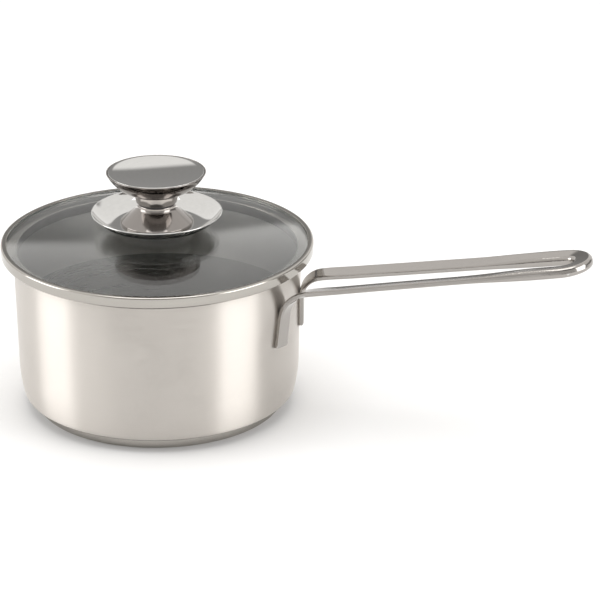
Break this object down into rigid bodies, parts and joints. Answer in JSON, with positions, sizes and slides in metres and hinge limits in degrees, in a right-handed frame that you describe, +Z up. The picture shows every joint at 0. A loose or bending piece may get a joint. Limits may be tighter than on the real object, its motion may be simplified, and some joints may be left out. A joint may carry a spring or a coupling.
{
  "type": "saucepan with glass lid",
  "caption": "Stainless steel saucepan with a bonded base, a bent bar loop handle and a lift-off domed glass lid with a steel knob.",
  "frame": {"origin": "centre of the base's flat underside, on the pan's axis", "axes": "+Z up along the pan's axis, +X along the handle"},
  "size_m": [0.3377, 0.1764, 0.1379],
  "materials": {
    "pan_steel": "mirror polished stainless steel with a faint satin haze outside, brushed inside",
    "base_aluminium": "plain disc, closed in by the cap",
    "base_steel": "spun stainless steel, polished edge and turned underside",
    "handle_steel": "polished stainless steel bar",
    "clear_glass": "clear tempered glass with a faint green edge",
    "band_steel": "polished stainless steel band",
    "sealant": "translucent grey silicone",
    "gasket": "dark grey silicone",
    "knob_steel": "mirror polished stainless steel",
    "joint_ring": "black heat-resistant plastic",
    "screw_steel": "plain stainless fasteners"
  },
  "bodies": {
    "pan": {"pan_shell": "pan_steel", "base_core": "base_aluminium", "base_cover": "base_steel", "handle_loop": "handle_steel"},
    "lid": {"lid_glass": "clear_glass", "lid_band": "band_steel", "band_sealant": "sealant", "flange_gasket": "gasket", "saucer_flange": "knob_steel", "knob_cone": "knob_steel", "neck_ring": "joint_ring", "knob_boss": "knob_steel", "knob_cup": "knob_steel", "knob_top_dish": "knob_steel", "lid_screw": "screw_steel", "lock_washer": "screw_steel", "under_washer": "screw_steel", "under_gasket": "gasket", "glass_bush": "gasket"}
  },
  "joints": [
    {"name": "lid_lift", "type": "slide", "parent": "pan", "child": "lid", "axis": [0, 0, 1], "range_m": [0, 0.12]}
  ]
}
